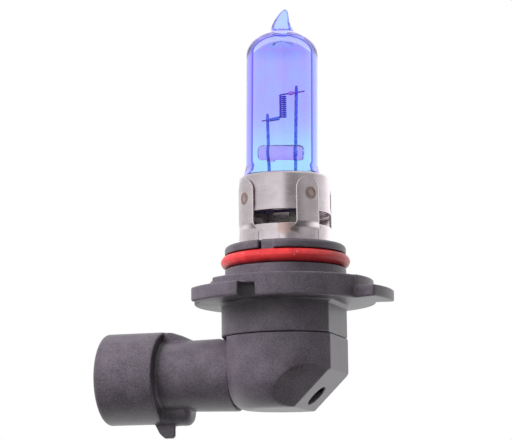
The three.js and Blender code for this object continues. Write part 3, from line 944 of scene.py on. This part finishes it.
def drumOutline(radius, flat):
    start = math.degrees(math.acos(flat / radius))
    count = 110
    corners = []
    for k in range(count + 1):
        point = polar(radius, start + (360 - 2 * start) * k / count)
        corners.append((point.x, point.y, 0.4 if k in (0, count) else 0))
    return rounded(corners, 4, closed=True)


def seamGroove(radius, degrees, low, high, size=0.07):  # a fine parting line on the moulding
    line = box((radius - size, -size, low), (radius + 1, size, high))
    return turnedZ(line, degrees)


def baseBody():
    low, high = base["groove"]
    pilot = lathe(rounded([
        (base["leadBore"], base["under"] + 0.4, 0), (base["pilot"], base["under"] + 0.4, 0),
        (base["pilot"], low, 0.2), (base["grooveRadius"], low, 0.1), (base["grooveRadius"], high, 0.1),
        (base["pilot"], high, 0.15), (base["pilot"], base["rimTop"], base["rimRound"]),
        (base["bore"], base["rimTop"], 0.35), (base["bore"], base["boreFloor"], 0.3),
        (base["leadBore"], base["boreFloor"], 0.3)], 5, closed=True), 192, closed=True)
    flange = plate(sectorOutline(flangeSectors), base["under"], base["step"], base["edge"])
    step = plate(sectorOutline(stepSectors), base["step"] - 0.6, base["stepTop"], base["edge"])
    pad = plate(sectorOutline(lugPad["sectors"]), base["step"] - 0.6, lugPad["top"], base["edge"])
    drum = plate(drumOutline(base["drum"], base["flat"]), base["seam"], base["under"] + 0.6, 0.12)
    reach = base["drum"] + base["fillet"]
    arc = [(reach - base["fillet"] * math.cos(t), base["under"] - base["fillet"] * (1 - math.sin(t)))
           for t in (math.pi / 2 * k / 6 for k in range(7))]
    fillet = lathe([*arc, (reach, base["under"] + 0.3), (9.5, base["under"] + 0.3),
                    (9.5, base["under"] - base["fillet"])], 160, closed=True)
    trimmed = carved(fillet, removed=[beyond((1, 0, 0), base["flat"] + base["fillet"])])
    hollow = lathe([(0, base["seam"] - 1), (base["leadBore"], base["seam"] - 1), (base["leadBore"], 1),
                    (0, 1)], 96)
    well = lathe([(0, base["boreFloor"]), (base["bore"], base["boreFloor"]),
                  (base["bore"], base["rimTop"] + 1), (0, base["rimTop"] + 1)], 160)
    cuts = [hollow, well]
    tabs = []
    half = rimTabs["width"] / 2
    for degrees in rimTabs["angles"]:
        notch = box((rimTabs["radius"] - 0.3, -half, high - 0.1), (base["pilot"] + 1, half, 9))
        cuts.append(turnedZ(notch, degrees))
        outline = rounded([(base["bore"] + 0.3, -half - 0.05, 0), (rimTabs["radius"], -half - 0.05, 0.15),
                           (rimTabs["radius"], half + 0.05, 0.15), (base["bore"] + 0.3, half + 0.05, 0)],
                          closed=True)
        tabs.append(turnedZ(plate(outline, high - 1.2, rimTabs["top"], 0.2), degrees))
    gap = box((recess["from"], -30, base["under"] - 1), (recess["to"], recess["depth"], recess["top"]))
    cuts.append(turnedZ(gap, recess["turn"]))
    whole = carved(pilot, joined=[flange, step, pad, drum, trimmed], removed=cuts)
    slots = [turnedZ(box((base["pilot"] - rimTabs["slotDepth"], -half - rimTabs["slotWidth"], high - 0.2),
                         (base["pilot"] + 1, -half, 9)), degrees) for degrees in rimTabs["angles"]]
    slots.append(seamGroove(base["pilot"], 0, base["step"], low))
    slots.append(seamGroove(base["flat"], 0, base["seam"] - 1, base["under"]))
    return carved(whole, joined=tabs, removed=slots)


# The dark patch on the elbow cover: its centre, reach and colour
elbowDarkPatch = {"centre": (4.7, -10.6, -16.2), "reach": 2.7, "colour": (0.026, 0.013, 0.015)}
nylon = blackNylon("blackNylon", nylonLook)
coverNylon = blackNylon("coverNylon", nylonLook, elbowDarkPatch)
piece("baseBody", moulded(baseBody(), 0.17, 2, 0.3), [nylon], ["base_body"], sharp=0)

ringLow, ringHigh = nodeBox("o_ring")
seal = {"squeeze": 0.97, "flash": 0.05}


def sealRing():
    section = (ringHigh.z - ringLow.z) / 2
    middle = (ringHigh.z + ringLow.z) / 2
    radius = (ringHigh.x - ringLow.x) / 2 - section
    profile = []
    for k in range(40):
        angle = 2 * math.pi * k / 40
        spread = 1 + seal["flash"] * math.exp(-(math.remainder(angle, 2 * math.pi) / 0.09) ** 2)
        profile.append((radius + section * spread * math.cos(angle) * seal["squeeze"],
                        middle + section * math.sin(angle)))
    return lathe(profile, 200, closed=True)


rubber = plainCast("redRubber", (0.34, 0.012, 0.016), (0.46, 0.022, 0.024), 0.42, 0.5, dust=0.6, gloss=0.5)
piece("sealRing", sealRing(), [rubber], ["o_ring"], sharp=60)

pottingLow, pottingHigh = nodeBox("base_potting")


def basePotting():
    radius = (pottingHigh.x - pottingLow.x) / 2
    top = pottingHigh.z
    rings = [(0, pottingLow.z), (radius, pottingLow.z), (radius, top)]
    for k in range(1, 9):
        sag = 0.35 * math.sin(math.pi / 2 * k / 8) ** 0.6
        rings.append((radius * (1 - k / 8), top - sag))
    fill = lathe(rings, 96)
    holes = []
    for node in ("front_outer_lead", "rear_outer_lead"):
        low, high = nodeBox(node)
        near = low if abs(low.y) > abs(high.y) else high
        x = low.x if abs(low.x) > abs(high.x) else high.x
        x -= math.copysign(leadLook["radius"], x)
        y = near.y - math.copysign(leadLook["radius"], near.y)
        holes.append(lathe([(0, low.z), (1.2, low.z), (1.2, top + 1), (0, top + 1)], 32, centre=(x, y)))
    return carved(fill, removed=holes)


resin = plainCast("pottingResin", (0.018, 0.017, 0.018), (0.03, 0.028, 0.03), 0.35, 0.8)
piece("basePotting", basePotting(), [resin], ["base_potting"])
print("base ready")


# Elbow cover: the drum's continuation with a round foot, a flat, a slanted face and its blind hole
elbowLow, elbowHigh = nodeBox("elbow_cover")
cover = {"radius": 11.7, "roundX": 4.7, "roundZ": 6.8, "slant": 25.9, "slantHalf": 7.0, "holeRadius": 2.2,
         "holeCentre": 5.46, "holeDepth": 4.5, "inner": 6.3, "floor": -19.4}
connector = {"height": -16.3, "neckRadius": 6.68, "neckEnd": 6.45, "neckRise": 0.22, "bore": 5.0,
             "neckStart": 9.15, "shroudStart": 23.0, "shroudRadius": 8.42, "socket": 6.9,
             "socketFloor": 24.2, "lipDrop": 6.2, "lipRadius": 2.58, "lipEnd": 17.8, "hoodFar": -1.5,
             "hoodInner": 5.4}
hoodProfile = [(6.5, 17.2, 0), (6.8, 17.9, 1.5), (7.67, 19.8, 3.0), (8.3, 21.7, 2.0)]


def alongConnector(profile, segments=144, closed=False):  # turned about the connector's axis
    lying = Matrix.Translation((0, 0, connector["height"])) @ Matrix.Rotation(-math.pi / 2, 4, "Y")
    return moved(lathe(profile, segments, closed), lying)


def elbowCover():
    bottom, top = elbowLow.z, elbowHigh.z
    across = cover["radius"] - cover["roundX"]
    foot = [(across + cover["roundX"] * math.sin(t), bottom + cover["roundZ"] * (1 - math.cos(t)))
            for t in (math.pi / 2 * k / 24 for k in range(25))]
    form = lathe([(0, bottom), *foot, (cover["radius"], top), (0, top)], 192)
    slant = math.sqrt(0.5)
    facet = 0.5 * cover["slant"] + slant * cover["slantHalf"]
    holeRadius, depth = cover["holeRadius"], cover["holeDepth"]
    hole = lathe(rounded([(0, -depth, 0), (holeRadius - 0.2, -depth, 0.3), (holeRadius, 3, 0),
                          (0, 3, 0)]), 48)
    outward = Vector((0, 0, 1)).rotation_difference(Vector((1, 0, -1))).to_matrix().to_4x4()
    centre = Vector((cover["holeCentre"], 0, cover["holeCentre"] - cover["slant"]))
    moved(hole, Matrix.Translation(centre) @ outward)
    shaft = lathe([(0, cover["floor"]), (cover["inner"], cover["floor"]), (cover["inner"], top + 1),
                   (0, top + 1)], 96)
    duct = alongConnector([(0, -0.5), (connector["bore"], -0.5), (connector["bore"], 12), (0, 12)], 96)
    seam = seamGroove(elbowHigh.x, 0, bottom, top + 1)
    return carved(form, removed=[
        beyond((1, 0, 0), elbowHigh.x), beyond((-1, 0, 0), -elbowLow.x),
        beyond((1, 0, -1), slant * cover["slant"]), beyond((0.5, -slant, -0.5), facet),
        beyond((0.5, slant, -0.5), facet), hole, shaft, duct, seam])


piece("elbowCover", moulded(elbowCover(), 0.17, 3, 0.35), [coverNylon], ["elbow_cover"],
      sharp=0)

shellLow = nodeBox("connector_shell")[0]
ramp = {"outline": [(-25.1, -23.6), (-25.1, -24.9), (-24.3, -26.4), (-23.3, -27.3), (-21.6, -27.3),
                    (-21.25, -26.9), (-21.2, -23.6)], "half": 1.2, "skew": -0.307}
keyRibs = {"angles": (60, -60), "half": 0.7, "inner": 6.2, "outer": 7.4, "from": -33.2, "to": -24.0}


def connectorShell():
    start, end = connector["shroudStart"], 0.2 - shellLow.x
    radius, floor, height = connector["shroudRadius"], connector["socketFloor"], connector["height"]
    shroud = alongConnector(rounded([
        (0, start, 0), (radius, start, 0.3), (radius, end, 0.6), (0, end, 0)]), 176)
    near = connector["neckStart"]
    neck = alongConnector(rounded([
        (0, near, 0), (connector["neckRadius"], near, 0), (connector["neckEnd"], 19, 0),
        (connector["neckEnd"], start + 0.5, 0), (0, start + 0.5, 0)]), 176)
    moved(neck, Matrix.Translation((0, 0, connector["neckRise"])))
    bore, socket = connector["bore"], connector["socket"]
    hollow = alongConnector([
        (0, near - 1), (bore, near - 1), (bore, floor), (socket, floor), (socket, end - 0.5),
        (socket + 0.35, end + 0.1), (socket + 0.35, end + 1), (0, end + 1)], 144)
    # Behind the shroud a hood closes down to the neck above, and a round lip lies along it below
    joint, inner = start + 0.4, connector["hoodInner"]
    hood = rounded([(inner, hoodProfile[0][1], 0), *hoodProfile, (radius - 0.1, joint, 0),
                    (inner, joint, 0)], closed=True)
    above = box((-joint - 1, connector["hoodFar"], height), (0, 12, height + 12))
    hoodPart = carved(alongConnector(hood[::-1], 176, closed=True), kept=[above])
    thick, tip = connector["lipRadius"], connector["lipEnd"]
    lip = alongConnector(rounded([(0, tip, 0), (thick, tip, 1.2), (thick, joint, 0), (0, joint, 0)]), 96)
    moved(lip, Matrix.Translation((0, 0, -connector["lipDrop"])))
    corners = [(x, z, 0.25) for x, z in ramp["outline"]]
    lockRamp = plate(rounded(corners, 3, closed=True), -ramp["half"], ramp["half"], 0.2)
    moved(lockRamp, Matrix.Rotation(math.pi / 2, 4, "X"))
    for vert in lockRamp.verts:  # its ends run a little askew
        vert.co.x += ramp["skew"] * vert.co.y
    keys = []
    for degrees in keyRibs["angles"]:
        rib = box((keyRibs["from"], -keyRibs["half"], keyRibs["inner"]),
                  (keyRibs["to"], keyRibs["half"], keyRibs["outer"]))
        turn = Matrix.Translation((0, 0, height)) @ Matrix.Rotation(math.radians(degrees), 4, "X")
        keys.append(moved(rib, turn))
    underDrum = box((-12.3, -12, elbowHigh.z), (0, 12, 0))
    shell = carved(neck, joined=[shroud], removed=[hollow, underDrum])
    return carved(shell, joined=[hoodPart, lip, lockRamp, *keys])


shell = moulded(connectorShell(), 0.17, 3, 0.3)
piece("connectorShell", shell, [nylon], ["connector_shell"], sharp=0)

carrierLow, carrierHigh = nodeBox("terminal_carrier")
blade = {"half": 1.4, "gap": 0.25}


def terminalCarrier():
    radius = (carrierHigh.y - carrierLow.y) / 2
    disc = alongConnector(rounded([
        (0, -carrierHigh.x, 0), (radius, -carrierHigh.x, 0.3), (radius, -carrierLow.x, 0.4),
        (0, -carrierLow.x, 0)]), 96)
    slots = []
    for node in ("front_terminal", "rear_terminal"):
        low, high = nodeBox(node)
        middle = connector["height"]
        reach = blade["half"] + blade["gap"]
        slots.append(box((carrierLow.x - 3, low.y - blade["gap"], middle - reach),
                         (carrierHigh.x + 3, high.y + blade["gap"], middle + reach)))
    return carved(disc, removed=slots)


piece("terminalCarrier", terminalCarrier(), [nylon], ["terminal_carrier"])

tinned = plainMetal("tinnedStrip", (0.56, 0.54, 0.50), (0.72, 0.70, 0.66), 0.26)


def terminalPiece(name, node, riserX):
    low, high = nodeBox(node)
    middle, half = connector["height"], blade["half"]
    outline = rounded([
        (low.x, middle - 0.7, 0.2), (low.x + 1.2, middle - half, 0.3), (riserX + 1, middle - half, 0.5),
        (riserX + 1, high.z, 0.3), (riserX - 1, high.z, 0.3), (riserX - 1, middle + half, 0.5),
        (low.x + 1.2, middle + half, 0.3), (low.x, middle + 0.7, 0.2)], closed=True)
    strip = plate(outline, -(high.y - low.y) / 2, (high.y - low.y) / 2, 0.14)
    standing = Matrix.Translation((0, (low.y + high.y) / 2, 0)) @ Matrix.Rotation(math.pi / 2, 4, "X")
    piece(name, moved(strip, standing), [tinned], [node])


for side in ("front", "rear"):
    terminalHigh = nodeBox(f"{side}_terminal")[1]
    terminalPiece(f"{side}Terminal", f"{side}_terminal", terminalHigh.x - 1.0)
print("connector ready")


# Studio: a pale floor, white surroundings and large soft lights
studio = {"floor": -0.055, "floorSize": 3.0,
          "ring": [(0.00, 1.5), (0.12, 1.1), (0.25, 0.70), (0.353, 0.80), (0.50, 1.08), (0.535, 1.15),
                   (0.555, 0.30), (0.63, 0.31), (0.68, 0.5), (0.76, 0.5), (0.86, 1.0), (0.93, 1.5),
                   (1.00, 1.5)],
          "belowBack": (1.6, 1.6, 1.6), "belowFront": (0.15, 0.15, 0.15), "above": (0.9, 0.9, 0.9)}


def makeFloor():
    bm = bmesh.new()
    bmesh.ops.create_grid(bm, x_segments=2, y_segments=2, size=studio["floorSize"] / 2)
    bmesh.ops.translate(bm, verts=bm.verts, vec=(0, 0, studio["floor"]))
    floor = asObject(bm, "floor")
    finish = newFinish("paleFloor")
    speckle = finish.grain(finish.place(), 0.02, 2.0)
    colour = finish.blend(speckle, (0.80, 0.80, 0.80), (0.84, 0.84, 0.84))
    floor.data.materials.append(finish.surface({"Base Color": colour, "Roughness": 0.8}))
    floor.visible_diffuse = False
    floor.visible_glossy = False
    floor.visible_transmission = False


def makeWorld():
    world = bpy.data.worlds.new("studio")
    scene.world = world
    sky = Finish(world)
    way = sky.node("ShaderNodeTexCoord", output="Generated")
    x, y, z = sky.apart(way)
    # A dim stretch in front and a little to the right, where the room is open
    bearing = sky.node("ShaderNodeMath", {"operation": "ARCTAN2"}, {0: x, 1: 0 - y})
    ring = sky.node("ShaderNodeValToRGB", {"stops": [
        (at, (grey, grey, grey)) for at, grey in studio["ring"]]}, {0: bearing / (2 * math.pi) + 0.5})
    front = sky.between(0 - y, -0.25, 0.35)
    below = sky.blend(front, studio["belowBack"], studio["belowFront"])
    colour = sky.blend(sky.between(0 - z, 0.05, 0.45), ring, below)
    colour = sky.blend(sky.between(z, 0.3, 0.9), colour, studio["above"])
    rays = sky.tree.nodes.new("ShaderNodeLightPath")
    seen = Wired(sky.tree, rays.outputs["Is Camera Ray"])
    crossed = Wired(sky.tree, rays.outputs["Transmission Depth"])
    colour = sky.blend(sky.between(crossed, 0.2, 0.8), colour, (1.10, 1.10, 1.10))
    colour = sky.blend(seen, colour, (1.0, 1.0, 1.0))
    light = sky.node("ShaderNodeBackground", None, {"Color": colour, "Strength": 1.0})
    sky.node("ShaderNodeOutputWorld", None, {"Surface": light})


def softLight(name, place, target, size, power):
    lamp = bpy.data.lights.new(name, "AREA")
    lamp.shape = "RECTANGLE"
    lamp.size, lamp.size_y = size
    lamp.energy = power
    made = bpy.data.objects.new(name, lamp)
    made.location = place
    made.rotation_mode = "QUATERNION"
    made.rotation_quaternion = (Vector(target) - Vector(place)).to_track_quat("-Z", "Y")
    made.visible_glossy = False
    made.visible_transmission = False
    scene.collection.objects.link(made)


makeFloor()
makeWorld()
softLight("keyLight", (-0.36, -0.34, 0.32), (0, 0, 0), (0.36, 0.36), 8.0)
softLight("sideLight", (0.42, -0.10, 0.12), (0, 0, 0), (0.16, 0.36), 0.3)
scene.view_settings.view_transform = "Standard"
print("studio ready")
